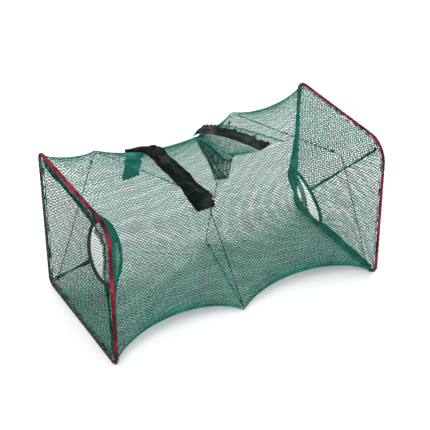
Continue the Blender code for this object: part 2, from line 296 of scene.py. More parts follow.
def tube(shape, path, radius, sides=6, closed=False, flat=1.0):
    """A tube along a path. radius may vary along it, and flat thins it across."""
    path = np.asarray(path, float)
    count = len(path)
    if closed:
        tangent = unit(np.roll(path, -1, 0) - np.roll(path, 1, 0))
    else:
        tangent = unit(np.gradient(path, axis=0))
    helper = np.array((0.0, 0.0, 1.0)) if abs(tangent[0, 2]) < 0.9 else np.array((1.0, 0.0, 0.0))
    normal = np.zeros_like(path)
    current = np.cross(tangent[0], helper)
    for k in range(count):
        current = current - tangent[k] * current.dot(tangent[k])
        current /= max(np.linalg.norm(current), 1e-12)
        normal[k] = current
    other = np.cross(tangent, normal)
    angles = 2 * pi * np.arange(sides) / sides
    radii = np.broadcast_to(np.asarray(radius, float), (count,))[:, None, None]
    ring = np.cos(angles)[None, :, None] * normal[:, None, :]
    ring = ring + flat * np.sin(angles)[None, :, None] * other[:, None, :]
    points = (path[:, None, :] + radii * ring).reshape(-1, 3)
    faces = []
    for k in range(count if closed else count - 1):
        here, after = k * sides, ((k + 1) % count) * sides
        for m in range(sides):
            following = (m + 1) % sides
            faces.append((here + m, here + following, after + following, after + m))
    if not closed:
        faces.append(tuple(range(sides - 1, -1, -1)))
        faces.append(tuple(range((count - 1) * sides, count * sides)))
    shape.add(points, faces)


def slab(shape, upper, lower):
    """A closed thick sheet between two grids of points, each (columns, rows, 3)."""
    columns, rows = upper.shape[:2]
    points = np.concatenate([upper.reshape(-1, 3), lower.reshape(-1, 3)])
    half = columns * rows
    faces = []
    for i in range(columns - 1):
        for j in range(rows - 1):
            a, b, c, d = i * rows + j, (i + 1) * rows + j, (i + 1) * rows + j + 1, i * rows + j + 1
            faces.append((a, b, c, d))
            faces.append((half + d, half + c, half + b, half + a))
    rim = [i * rows for i in range(columns)] + [(columns - 1) * rows + j for j in range(1, rows)]
    rim += [i * rows + rows - 1 for i in range(columns - 2, -1, -1)] + list(range(rows - 2, 0, -1))
    for k, here in enumerate(rim):
        after = rim[(k + 1) % len(rim)]
        faces.append((after, here, half + here, half + after))
    shape.add(points, faces)


def piece(name, shape, material, body, replaces=(), squash=None):
    made = shape.mesh(name, material)
    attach(made, body)
    if replaces:
        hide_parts(*replaces)
    if squash:
        anchor_x, keep = squash
        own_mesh(made)
    return made


BODY_FOLD = (LEFT_X, FOLD_KEEP)
# Fold pair for the body nets, a little tighter than the trap's; piece() unpacks it and copies the mesh but
# does not fold it
NET_FOLD = (LEFT_X, 0.080)
LIP_FOLD = (0.0805, FOLD_KEEP)
LEFT_FUNNEL_FOLD = (LEFT_X, LEFT_FUNNEL_KEEP)
RIGHT_FUNNEL_FOLD = (RIGHT_X, RIGHT_FUNNEL_KEEP)


# ---------------------------------------------------------------- the frames and the coil

def square_point(t):
    """The unit square at t, as (y, z) arrays."""
    turn = np.mod(t, 1.0) * 8
    y = np.interp(turn, (0, 1, 3, 5, 7, 8), (1, 1, -1, -1, 1, 1))
    z = np.interp(turn, (0, 1, 3, 5, 7, 8), (0, 1, 1, -1, -1, 0))
    return y, z


def rounded_point(t, half, corners):
    """The rounded square of half side half at t; corners are its radii, from the back top round."""
    y, z = square_point(t)
    quarter = np.floor(np.mod(t, 1.0) * 4).astype(int) % 4
    radius = np.array(corners)[quarter] / HALF_SIDE
    reach = 1 - radius
    high, low = np.maximum(abs(y), abs(z)), np.minimum(abs(y), abs(z))
    length = high ** 2 + low ** 2
    along = (high + low) * reach
    inside = np.maximum(along ** 2 - length * (2 * reach ** 2 - radius ** 2), 0.0)
    scale = np.where(low > reach, (along + np.sqrt(inside)) / length, 1.0)
    return half * y * scale, half * z * scale


def frame_path(x, corners, half, t):
    y, z = rounded_point(t, half, corners)
    return np.stack([np.broadcast_to(x, y.shape), y, MIDDLE_Z + z], axis=-1)


def coil_point(t8, x):
    """A corner of the coil: t8 counts eighths of a turn from the middle of the back."""
    y, z = square_point(np.array(t8 / 8))
    return np.array((x, COIL_HALF_WIDTH * float(y), COIL_TOP_Z if z > 0 else COIL_BOTTOM_Z))


def coil_route(steps=10):
    """The coil's wire: straight legs and a fillet at each corner."""
    corners = [np.array((-COIL_END_X, 0.107, 0.012))]
    corners += [coil_point(t8, x) for x, t8 in COIL_CORNERS]
    corners += [np.array((COIL_END_X, -0.107, 0.012))]
    route = [corners[0]]
    for before, here, after in zip(corners, corners[1:], corners[2:]):
        into, out = unit(before - here), unit(after - here)
        for step in range(steps + 1):
            t = step / steps
            start, end = here + into * COIL_CORNER_R, here + out * COIL_CORNER_R
            route.append(start * (1 - t) ** 2 + here * 2 * t * (1 - t) + end * t * t)
    return np.array(route + [corners[-1]]), corners


# ---------------------------------------------------------------- the net tube, drawn tight over the coil

TUBE_COLUMNS = 116
TUBE_ROWS = 160
NET_INSET = 0.0036          # from a frame's plane to the end of the net
NET_CLEAR = COIL_WIRE_R + YARN_R + 0.0012
TOP_PULL = 0.12             # pull round the tube, against the pull along it
FLOOR_PULL = 0.17
FLOOR_Z = 0.0022


def relaxed_tube():
    """(y, z) of the net tube on a grid: a skin pulled tight between the frames, held out by the coil."""
    xs = np.linspace(LEFT_X + NET_INSET, RIGHT_X - NET_INSET, TUBE_COLUMNS)
    ts = np.arange(TUBE_ROWS) / TUBE_ROWS
    grid = np.zeros((TUBE_COLUMNS, TUBE_ROWS, 2))
    share = ((xs - xs[0]) / (xs[-1] - xs[0]))[:, None]
    ends = []
    for corners in (LEFT_CORNERS, RIGHT_CORNERS):
        y, z = rounded_point(ts, HALF_SIDE - 0.0015, corners)
        ends.append(np.stack([y, z], axis=-1))
    grid[:] = (1 - share)[..., None] * ends[0] + share[..., None] * ends[1]
    held = np.zeros((TUBE_COLUMNS, TUBE_ROWS), bool)
    held[0] = held[-1] = True

    # the coil's legs, as places (x, t) and where the net lies on the wire there
    stations = [(-COIL_END_X, -1)] + list(COIL_CORNERS) + [(COIL_END_X, 13)]
    for (x0, e0), (x1, e1) in zip(stations, stations[1:]):
        for share_of_leg in np.linspace(0, 1, 240):
            x, t = x0 + share_of_leg * (x1 - x0), (e0 + share_of_leg * (e1 - e0)) / 8
            near_end = min(x + COIL_END_X, COIL_END_X - x) / 0.060
            y, z = square_point(np.array(t))
            half = COIL_HALF_WIDTH + NET_CLEAR
            high = COIL_TOP_Z + NET_CLEAR - MIDDLE_Z
            low = MIDDLE_Z - COIL_BOTTOM_Z + NET_CLEAR
            spot = np.array((half * float(y), (high if z > 0 else low) * float(z)))
            column = int(round((x - xs[0]) / (xs[1] - xs[0])))
            row = int(round(t * TUBE_ROWS)) % TUBE_ROWS
            if near_end < 1 or not 0 < column < TUBE_COLUMNS - 1:
                continue
            grid[column, row] = spot
            held[column, row] = True
    free = ~held[..., None]
    floorward = (1 - square_point(ts)[1])[None, :, None] / 2
    pull = TOP_PULL + floorward * (FLOOR_PULL - TOP_PULL)
    for _ in range(2600):
        around = np.roll(grid, 1, 1) + np.roll(grid, -1, 1)
        along = np.zeros_like(grid)
        along[1:-1] = grid[2:] + grid[:-2]
        settled = (along + pull * around) / (2 + 2 * pull)
        grid = np.where(free, settled, grid)
        grid[..., 1] = np.maximum(grid[..., 1], FLOOR_Z - MIDDLE_Z)
    for _ in range(2):
        soft = (np.roll(grid, 1, 1) + np.roll(grid, -1, 1) + 2 * grid) / 4
        grid[1:-1] = soft[1:-1]
    return xs, grid


TUBE_X, TUBE = relaxed_tube()


def tube_at(x, t):
    """Points of the net tube at arrays x and t."""
    x, t = np.broadcast_arrays(np.asarray(x, float), np.asarray(t, float))
    column = np.clip((x - TUBE_X[0]) / (TUBE_X[1] - TUBE_X[0]), 0, TUBE_COLUMNS - 1.000001)
    row = np.mod(t, 1.0) * TUBE_ROWS
    i, j = column.astype(int), row.astype(int) % TUBE_ROWS
    a, b = (column - i)[..., None], (row - np.floor(row))[..., None]
    k = (j + 1) % TUBE_ROWS
    near = TUBE[i, j] * (1 - b) + TUBE[i, k] * b
    far = TUBE[i + 1, j] * (1 - b) + TUBE[i + 1, k] * b
    found = near * (1 - a) + far * a
    return np.concatenate([x[..., None], found[..., :1], found[..., 1:] + MIDDLE_Z], axis=-1)


def outward_at(x, t):
    """The outward normal of the net tube."""
    step_x = tube_at(np.asarray(x) + 0.004, t) - tube_at(np.asarray(x) - 0.004, t)
    step_t = tube_at(x, np.asarray(t) + 0.006) - tube_at(x, np.asarray(t) - 0.006)
    return unit(np.cross(step_t, step_x))


def top_t(x, y):
    """t on top of the tube where its y is this, at arrays x and y."""
    x, y = np.broadcast_arrays(np.asarray(x, float), np.asarray(y, float))
    ts = np.linspace(0.11, 0.39, 113)
    found = np.zeros(x.shape)
    for index in np.ndindex(x.shape):
        ys = tube_at(np.full(ts.shape, x[index]), ts)[:, 1]
        found[index] = np.interp(-y[index], -ys, ts)
    return found


def on_top(x, y, rise=0.0):
    spot = tube_at(x, top_t(x, y))
    spot[..., 2] += rise
    return spot


# ---------------------------------------------------------------- netting

def mesh_links(steps_u, steps_v):
    """The links of a diamond net, as crossings (i, j) at both ends; i + j is even at each crossing."""
    i, j = np.meshgrid(np.arange(steps_u), np.arange(steps_v + 1), indexing="ij")
    starts, ends = [], []
    for step in (1, -1):
        good = ((i + j) % 2 == 0) & (j + step >= 0) & (j + step <= steps_v)
        starts.append(np.stack([i[good], j[good]], axis=-1))
        ends.append(np.stack([i[good] + 1, j[good] + step], axis=-1))
    return np.concatenate(starts), np.concatenate(ends)


def net(shape, surface, steps_u, steps_v, seed, inside=None, closed=False, wander=0.12, radius=YARN_R):
    """Yarns of a diamond net on surface(u, v), with u and v from 0 to 1, where inside(u, v) is true."""
    rng = np.random.default_rng(seed)
    drift = rng.normal(0, wander, (steps_u + 1, steps_v + 1, 2))
    drift[[0, -1]] = 0
    drift[:, [0, -1]] = 0
    if closed:
        drift[:, -1] = drift[:, 0]
    first, second = mesh_links(steps_u, steps_v)
    places = []
    for crossing in (first, second):
        moved = crossing + drift[crossing[:, 0], crossing[:, 1]]
        places.append((moved[:, 0] / steps_u, moved[:, 1] / steps_v))
    (u0, v0), (u1, v1) = places
    keep = np.ones(len(u0), bool) if inside is None else inside((u0 + u1) / 2, (v0 + v1) / 2)
    starts, ends = surface(u0[keep], v0[keep]), surface(u1[keep], v1[keep])
    straight_yarns(shape, starts, ends, radius)


def body_surface(u, v):
    return tube_at(TUBE_X[0] + u * (TUBE_X[-1] - TUBE_X[0]), v)


def below_line(x, y, first, second):
    """True where (x, y) lies on the left of the line from the back point first to the front point second."""
    share = (y - first[1]) / (second[1] - first[1])
    return x < first[0] + share * (second[0] - first[0])


def in_mouth(x, y):
    right = ~below_line(x, y, MOUTH_BACK, MOUTH_EDGE[0])
    left = below_line(x, y, HINGE_BACK, HINGE_FRONT)
    edge = MOUTH_EDGE + (HINGE_FRONT,)
    behind = y > np.interp(x, [spot[0] for spot in edge], [spot[1] for spot in edge])
    return right & left & behind


def panel_mask(low, high, side=None):
    """Net between t = low and high; side picks the near or the far part of the top."""

    def inside(u, v):
        spot = body_surface(u, v)
        turn = np.mod(v - low, 1.0)
        good = turn < high - low
        if side:
            x, y = spot[..., 0], spot[..., 1]
            near = below_line(x, y, MOUTH_BACK, MOUTH_EDGE[0])
            good &= (near if side == "near" else ~near) & ~in_mouth(x, y)
        return good

    return inside


def body_net():
    length = TUBE_X[-1] - TUBE_X[0]
    steps_u = round(length / HALF_MESH)
    steps_v = 4 * round(2 * HALF_SIDE / HALF_MESH)
    steps_v += steps_v % 2
    panels = (
        ("net_back", -1 / 8, 1 / 8, None, 1.0), ("net_front", 3 / 8, 5 / 8, None, 1.0),
        ("net_bottom", 5 / 8, 7 / 8, None, 1.0),
        ("net_top_near", 1 / 8, 3 / 8, "near", 0.47), ("net_top_far", 1 / 8, 3 / 8, "far", 0.34),
    )
    for name, low, high, part, share in panels:
        shape = Shape()
        net(shape, body_surface, steps_u, steps_v, 11, panel_mask(low, high, part), closed=True)
        made = piece(f"{name}_yarns", shape, NET_YARN, "left_frame", [name], NET_FOLD)


def add_camera():
    azimuth, elevation, roll = radians(-29.1), radians(33.3), radians(-0.4)
    back = Vector((sin(azimuth) * cos(elevation), -cos(azimuth) * cos(elevation), sin(elevation)))
    data = bpy.data.cameras.new("camera")
    data.lens = 112.4
    data.sensor_width = 36.0
    data.shift_x = 0.0047
    camera = bpy.data.objects.new("camera", data)
    camera.location = Vector((0, 0, MIDDLE_Z)) + back * 2.083
    camera.rotation_euler = (back.to_track_quat("Z", "Y") @ Euler((0, 0, roll)).to_quaternion()).to_euler()
    bpy.context.scene.collection.objects.link(camera)
    bpy.context.scene.camera = camera


def add_light(name, place, size, power, target=(0, 0, 0.12)):
    data = bpy.data.lights.new(name, "AREA")
    data.size = size
    data.energy = power
    light = bpy.data.objects.new(name, data)
    light.location = place
    light.rotation_euler = (Vector(place) - Vector(target)).to_track_quat("Z", "Y").to_euler()
    bpy.context.scene.collection.objects.link(light)


def add_studio():
    shape = Shape()
    size = 6.0
    shape.add([(-size, -size, 0), (size, -size, 0), (size, size, 0), (-size, size, 0)], [(0, 1, 2, 3)])
    floor = shape.mesh("floor", floor_material())
    add_light("key", (-1.6, -1.8, 2.6), 1.6, 60)
    add_light("fill", (2.2, -1.2, 1.6), 2.0, 26)
    add_light("rim", (0.4, 2.2, 1.8), 1.8, 30)
    world = bpy.data.worlds.new("studio")
    world.use_nodes = True
    world.node_tree.nodes["Background"].inputs["Color"].default_value = (1.0, 1.0, 1.0, 1)
    world.node_tree.nodes["Background"].inputs["Strength"].default_value = 0.85
    bpy.context.scene.world = world
    bpy.context.scene.view_settings.view_transform = "Standard"


# ---------------------------------------------------------------- frames, coil, ties

TAPE_TURN = radians(24)     # the tape is turned this far from the outside of the frame to its outer face


def frame_axes(x, corners, t):
    """Centre line of a frame's wire, and its outward direction in the frame's plane."""
    centre = frame_path(x, corners, HALF_SIDE, t)
    tangent = unit(np.roll(centre, -1, 0) - np.roll(centre, 1, 0))
    outward = unit(np.cross(tangent, (1.0, 0.0, 0.0)))
    facing = np.sign(((centre - (x, 0, MIDDLE_Z)) * outward).sum(1))[:, None]
    return centre, outward * facing


def binding(x, corners, inside, seed):
    """The red tape folded round a frame's wire, creased, and open towards the middle and the net."""
    around, along = 20, 460
    t = np.arange(along) / along
    centre, outward = frame_axes(x, corners, t)
    inward = np.array((inside, 0.0, 0.0))
    rng = np.random.default_rng(seed)
    creases = sum(np.sin(2 * pi * k * t + rng.uniform(0, 2 * pi)) for k in (31, 57, 83, 121)) / 4
    wander = radians(15) * sum(np.sin(2 * pi * k * t + rng.uniform(0, 2 * pi)) for k in (5, 11, 23)) / 2
    outer, thick = BINDING_R - 0.00030, 0.0006
    above, below = [], []
    for turn in np.linspace(radians(-86), radians(86), around):
        angle = turn + wander + TAPE_TURN
        direction = outward * np.cos(angle)[:, None] - inward * np.sin(angle)[:, None]
        wave = 0.00022 * creases + 0.00010 * np.sin(2 * pi * 150 * t + 4 * turn)
        above.append(centre + direction * (outer + wave)[:, None])
        below.append(centre + direction * (outer + wave - thick)[:, None])
    profile = np.concatenate([np.stack(above, 1), np.stack(below, 1)[:, ::-1]], axis=1)
    rows = profile.shape[1]
    faces = []
    for k in range(along):
        here, after = k * rows, ((k + 1) % along) * rows
        for m in range(rows):
            following = (m + 1) % rows
            faces.append((here + m, after + m, after + following, here + following))
    shape = Shape()
    shape.add(profile.reshape(-1, 3), faces)
    return shape


def hem_roll(x, corners, inside, seed):
    """The net's edge, rolled round the wire inside the tape: a lumpy rope of yarns."""
    shape = Shape()
    t = np.arange(520) / 520
    centre, outward = frame_axes(x, corners, t)
    inward = np.array((inside, 0.0, 0.0))
    rng = np.random.default_rng(seed)
    for strand in range(7):
        turns = int(rng.integers(46, 70)) * (1 if strand % 2 else -1)
        angle = 2 * pi * (turns * t + strand / 7)
        reach = 0.00195 + 0.0002 * np.sin(2 * pi * 37 * t + strand)
        path = centre + reach[:, None] * (np.cos(angle)[:, None] * outward + np.sin(angle)[:, None] * inward)
        tube(shape, path, 0.00042, 4, closed=True)
    for strand in range(4):
        sway = 0.0011 * np.sin(2 * pi * (19 + 6 * strand) * t + 2 * strand)
        path = centre + inward * (0.0026 + 0.0004 * strand) - outward * (0.0016 + sway)[:, None]
        tube(shape, path, 0.00045, 4, closed=True)
    return shape


def lashing(x, corners, inside, turns, reach):
    """A thread wound round a frame."""
    shape = Shape()
    t = np.arange(turns * 10) / (turns * 10)
    centre, outward = frame_axes(x, corners, t)
    angle = 2 * pi * turns * t
    inward = np.array((inside, 0.0, 0.0))
    path = centre + reach * (np.cos(angle)[:, None] * outward + np.sin(angle)[:, None] * inward)
    tube(shape, path, 0.00030, 4, closed=True)
    return shape


def helix(centre, along, radius, turns, length, steps=12):
    """Points of a helix about along, centred on centre."""
    along = unit(np.asarray(along, float))
    side = unit(np.cross(along, (0.3, 0.5, 0.8)))
    other = np.cross(along, side)
    t = np.linspace(0, 1, turns * steps + 1)[:, None]
    angle = 2 * pi * turns * t
    return centre + along * (t - 0.5) * length + radius * (np.cos(angle) * side + np.sin(angle) * other)


def tie(shape, centre, along, outward):
    """Thread wound round the coil's wire, with a knot and two ends."""
    turn_r = COIL_WIRE_R + 0.00055
    tube(shape, helix(centre, along, turn_r, 6, 0.0050), 0.00038, 5)
    knot = centre + outward * (turn_r + 0.0006)
    tube(shape, helix(knot, np.cross(along, outward), 0.0007, 3, 0.0014), 0.00042, 5)
    for side in (1, -1):
        t = np.linspace(0, 1, 8)[:, None]
        end = knot + outward * 0.001 + along * side * 0.0055 * t + outward * 0.0018 * np.sin(pi * t * 0.8)
        tube(shape, end, 0.00026, 4)


# ---------------------------------------------------------------- funnels and rings

FUNNELS = {
    "left": (LEFT_X, LEFT_CORNERS, LEFT_RING_MIDDLE, LEFT_TILT, 1, LEFT_FUNNEL_FOLD),
    "right": (RIGHT_X, RIGHT_CORNERS, RIGHT_RING_MIDDLE, RIGHT_TILT, -1, RIGHT_FUNNEL_FOLD),
}
QUARTERS = ("back", "top", "front", "bottom")
SEAM_CORNERS = ((1, "back_top"), (3, "front_top"), (5, "front_bottom"), (7, "back_bottom"))
# Width of the gathered seam from each corner of the frame to the ring, and its shifts at both ends
SEAMS = {
    "left": {
        "back_top": (0.018, -0.010, -0.006), "front_top": (0.006, 0.0, 0.0),
        "front_bottom": (0.015, 0.010, 0.022), "back_bottom": (0.006, 0.0, 0.0),
    },
    "right": {
        "back_top": (0.012, 0.0, 0.0), "front_top": (0.006, 0.0, 0.0),
        "front_bottom": (0.017, 0.0, 0.0), "back_bottom": (0.006, 0.0, 0.0),
    },
}


# The free edge of the net drawn across each ring, as (y, z) in the ring's plane, and the net's width
VEILS = {
    "left": (
        ((0.0030, -0.0470), (0.0080, -0.0200), (0.0130, 0.0015), (0.0270, 0.0060), (0.0470, 0.0090)),
        0.022,
    ),
    "right": (
        ((0.0180, -0.0440), (0.0130, -0.0200), (0.0060, 0.0020), (0.0120, 0.0240), (0.0260, 0.0400)),
        0.030,
    ),
}


def ring_points(side, t, radius, rise=0.0):
    """Points about a ring's axis at arrays t and radius; rise is along the axis."""
    centre, tilt = FUNNELS[side][2], FUNNELS[side][3]
    turned = np.array(Euler((0, tilt[0], tilt[1])).to_matrix())
    t, radius, rise = np.broadcast_arrays(np.asarray(t, float), radius, rise)
    local = np.stack([rise, radius * np.cos(2 * pi * t), radius * np.sin(2 * pi * t)], axis=-1)
    return np.array(centre) + local @ turned.T


def funnel_point(side, t, v, lift=0.0):
    """A point of a funnel, from the frame at v = 0 to the ring at v = 1."""
    x, corners, _, _, facing, _ = FUNNELS[side]
    t, v = np.broadcast_arrays(np.asarray(t, float), np.asarray(v, float))
    start = frame_path(x + facing * 0.0040, corners, HALF_SIDE - 0.003, t)
    end = ring_points(side, t, RING_R + RING_WIRE_R * 0.9)
    spot = start + (end - start) * v[..., None]
    drawn = np.array((0.0, 0.0, MIDDLE_Z)) - spot
    drawn[..., 0] = 0
    return spot + unit(drawn) * (0.006 * np.sin(pi * v) + lift)[..., None]


def funnel_gusset(side, quarter):
    width_out, width_in = 2 * HALF_SIDE - 0.006, 2 * pi * RING_R / 4
    start, end = funnel_point(side, quarter / 4, 0.0), funnel_point(side, quarter / 4, 1.0)
    length = float(np.linalg.norm(end - start))
    sparse = QUARTERS[quarter] == "front" and side == "left"
    mesh = (1.25 if sparse else 0.82) * HALF_MESH
    steps_u = max(2 * round(length / mesh / 2), 4)
    steps_v = 2 * round(width_out / mesh / 2)

    def width(v):
        return width_out + v * (width_in - width_out)

    def surface(v, across):
        share = np.clip((across - 0.5) * width_out / width(v), -0.5, 0.5)
        return funnel_point(side, (quarter + share) / 4, v)

    def inside(v, across):
        return np.abs(across - 0.5) * width_out < width(v) / 2 + HALF_MESH / 2

    shape = Shape()
    yarn_r = SPARSE_YARN_R if sparse else FUNNEL_YARN_R
    net(shape, surface, steps_u, steps_v, 20 + quarter, inside, radius=yarn_r)
    name = f"{side}_funnel_{QUARTERS[quarter]}"
    made = piece(f"{name}_yarns", shape, SHADED_FUNNEL_YARN, f"{side}_frame", [name], FUNNELS[side][5])


def funnel_seam(side, corner, name):
    """Net gathered in three layers along the seam from a corner of the frame to the ring."""
    width, shift_out, shift_in = SEAMS[side][name]
    t_corner = corner / 8
    start, end = funnel_point(side, t_corner, 0.0), funnel_point(side, t_corner, 1.0)
    length = float(np.linalg.norm(end - start))
    layers = 3

    def surface(u, v):
        turn = v * layers
        layer = np.minimum(np.floor(turn), layers - 1)
        part = turn - layer
        across = np.where(layer % 2 == 0, part, 1 - part) - 0.5
        open_width = width * (0.65 + 0.35 * np.cos(2 * pi * u)) + 0.0012 * np.sin(9 * u + corner)
        perimeter = 2 * pi * RING_R + u * 0 + (1 - u) * (8 * HALF_SIDE - 2 * pi * RING_R)
        shift = shift_out + u * (shift_in - shift_out)
        place = t_corner + (shift + across * open_width) / perimeter
        return funnel_point(side, place, u, 0.0008 * (layer - 0.5))

    shape = Shape()
    steps_u = 2 * round(length / 0.0032 / 2)
    steps_v = 2 * max(round(layers * width / 0.0032 / 2), 2)
    net(shape, surface, steps_u, steps_v, 40 + corner, wander=0.25)
    made = piece(f"{side}_seam_{name}_net", shape, SHADED_SEAM_YARN, f"{side}_frame", (), FUNNELS[side][5])
    cords = Shape()
    for number, share in enumerate((-0.5, -0.42, 0.0, 0.5)):
        u = np.linspace(0, 1, 40)
        v = np.full(40, 0.5)
        open_width = width * (0.65 + 0.35 * np.cos(2 * pi * u)) + 0.0012 * np.sin(9 * u + corner)
        perimeter = 2 * pi * RING_R + (1 - u) * (8 * HALF_SIDE - 2 * pi * RING_R)
        sway = 0.06 * np.sin(23 * u + 2 * number)
        shift = shift_out + u * (shift_in - shift_out)
        place = t_corner + (shift + (share + sway) * open_width) / perimeter
        path = funnel_point(side, place, u, 0.0016)
        tube(cords, path, 0.00055 if number != 2 else 0.0004, 5)
    piece(f"{side}_seam_{name}_cord", cords, CORD, f"{side}_frame", (), FUNNELS[side][5])


def ring_veil(side):
    """The end of a funnel's front seam, drawn across the ring to the back of its rim."""
    edge, width = VEILS[side]
    places = np.linspace(0, 1, len(edge))
    edge_y, edge_z = np.array(edge).T
    facing = FUNNELS[side][4]

    def surface(u, v):
        y = np.interp(u, places, edge_y) - v * width * (1 - 0.5 * u)
        z = np.interp(u, places, edge_z) + v * width * 1.3 * u
        radius = np.minimum(np.hypot(y, z), RING_R - 0.0010)
        rise = 0.0034 + 0.0010 * np.sin(3 * pi * v) + 0.0008 * np.sin(9 * u)
        return ring_points(side, np.arctan2(z, y) / (2 * pi), radius, facing * rise)

    shape = Shape()
    net(shape, surface, 44, 12, 57, wander=0.15, radius=0.00044)
    net(shape, surface, 36, 10, 58, wander=0.15, radius=0.00044)
    made = piece(f"{side}_ring_veil_yarns", shape, SHADED_SEAM_YARN, f"{side}_ring")


def ring_lashing(side):
    """Thread wound round a ring through the net, and the rolled edge of the net beside it."""
    turns = 58
    t = np.arange(turns * 9) / (turns * 9)
    angle = 2 * pi * turns * t
    reach = RING_WIRE_R + 0.0004
    shape = Shape()
    turns_path = ring_points(side, t, RING_R + reach * np.cos(angle), reach * np.sin(angle))
    tube(shape, turns_path, 0.00034, 5, closed=True)
    facing = FUNNELS[side][4]
    t = np.arange(360) / 360
    for strand in range(4):
        wave = 0.0005 * np.sin(2 * pi * (23 + 7 * strand) * t + strand)
        rise = -facing * (0.0022 - 0.0006 * strand)
        path = ring_points(side, t, RING_R + 0.0012 + 0.0006 * strand + wave, rise)
        tube(shape, path, 0.00050, 5, closed=True)
    piece(f"{side}_ring_lashing", shape, CORD, f"{side}_ring")


# ---------------------------------------------------------------- the mouth and its strips

STRIP_STATIONS = ((0.391, -0.0715), (0.375, -0.0760), (0.337, -0.0765), (0.298, -0.0764), (0.258, -0.0759),
                  (0.214, -0.0742), (0.179, -0.0718), (0.161, -0.0765), (0.147, -0.0860), (0.134, -0.0900),
                  (0.122, -0.0895))
TAIL_STATIONS = ((0.130, -0.0895), (0.112, -0.0895), (0.090, -0.0895), (0.050, -0.0905))
FAR_FOOT_BACK = (0.0140, 0.0935)
FAR_FOOT_FRONT = (0.0690, -0.0270)
# The front edge of the mouth, from the near side to the foot of the far strip
MOUTH_EDGE = ((-0.030, -0.061), (-0.0100, -0.0640), (0.0250, -0.0180), (0.0690, -0.0260))


def smooth_stations(stations, count):
    s = np.linspace(0, len(stations) - 1, count)
    t = np.interp(s, range(len(stations)), [a for a, _ in stations])
    x = np.interp(s, range(len(stations)), [b for _, b in stations])
    for _ in range(count // 8):
        t[1:-1] = (t[:-2] + 2 * t[1:-1] + t[2:]) / 4
        x[1:-1] = (x[:-2] + 2 * x[1:-1] + x[2:]) / 4
    return t, x


def tube_strip(shape, stations, width, rise, thick, rib, ribs=7, count=150, rows=29, ends=0.0):
    """A ribbed tape that lies along the net tube."""
    t, x = smooth_stations(stations, count)
    across = np.linspace(-0.5, 0.5, rows)
    length = np.linspace(0, 1, count)
    wide = width * (1 + 0.06 * np.sin(21 * length) + 0.03 * np.sin(47 * length + 1))
    xs = x[:, None] + wide[:, None] * across[None, :] + 0.0012 * np.sin(17 * length + 2)[:, None]
    ts = np.broadcast_to(t[:, None], xs.shape) + 0.004 * across[None, :] * np.sin(14 * length)[:, None]
    foot, normal = tube_at(xs, ts), outward_at(xs, ts)
    lane = pi * ribs * (across + 0.5)[None, :] + 0.9 * np.sin(11 * length)[:, None]
    ridge = rib * np.abs(np.cos(lane)) ** 0.8 * (1 + 0.5 * np.sin(2.3 * lane + 5 * length[:, None]))
    ripple = 0.0007 * np.sin(46 * length)[:, None] * np.sin(5 * across)[None, :]
    ripple = ripple + 0.0005 * np.sin(88 * length + 2)[:, None]
    fuzz = np.random.default_rng(8).normal(0, 0.00012, xs.shape)
    height = rise + ends * np.exp(-((length - 0.02) / 0.05) ** 2)[:, None]
    top = foot + normal * (height + thick + ridge + ripple + fuzz)[..., None]
    bottom = foot + normal * (height + ripple)[..., None]
    slab(shape, top, bottom)
    return foot, normal


def near_strip():
    shape = Shape()
    tube_strip(shape, STRIP_STATIONS, 0.0265, 0.0014, 0.0012, 0.0034, ribs=6, ends=0.0016)
    fold = ((0.392, -0.0712), (0.380, -0.0745), (0.366, -0.0765))
    tube_strip(shape, fold, 0.0260, 0.0060, 0.0012, 0.0010, count=24)
    piece("near_hook_strip", shape, HIGHLIGHTED_HOOK_TAPE, "left_frame", ["near_closure_strip"], BODY_FOLD)
    # The tail lies 4 mm inside the net at the back; its darker tape is painted shade
    tail = Shape()
    tube_strip(tail, TAIL_STATIONS, 0.0270, -0.0040, 0.0009, 0.0003, ribs=11, count=50)
    piece("near_strip_tail", tail, SHADED_TAIL_TAPE, "left_frame", (), BODY_FOLD)
    stitches = Shape()
    t, x = smooth_stations(STRIP_STATIONS, 120)
    for side in (-0.0112, 0.0112):
        for k in range(3, 116, 3):
            ends = tube_at(np.array((x[k] + side, x[k + 2] + side)), np.array((t[k], t[k + 2])))
            lift = outward_at(np.array((x[k] + side,) * 2), np.array((t[k], t[k + 2]))) * 0.0031
            straight_yarns(stitches, (ends + lift)[:1], (ends + lift)[1:], 0.00022)
    angle = np.arange(24) / 24 * 2 * pi
    loop_at = tube_at(np.array(-0.086), np.array(0.386)) + np.array((-0.003, -0.002, 0.0))
    ways = (0.0045 * np.cos(angle), 0.0012 * np.sin(3 * angle), 0.0035 * np.sin(angle))
    loop = loop_at + np.stack(ways, -1)
    tube(stitches, loop, 0.00035, 5, closed=True)
    piece("near_strip_stitches", stitches, CORD, "left_frame", (), BODY_FOLD)


def far_foot(u):
    x = FAR_FOOT_BACK[0] + u * (FAR_FOOT_FRONT[0] - FAR_FOOT_BACK[0])
    y = FAR_FOOT_BACK[1] + u * (FAR_FOOT_FRONT[1] - FAR_FOOT_BACK[1])
    foot = on_top(x, y)
    foot[..., 2] += 0.0004 + 0.0065 * np.exp(-(u / 0.10) ** 2) + 0.0010 * np.sin(pi * u)
    return foot


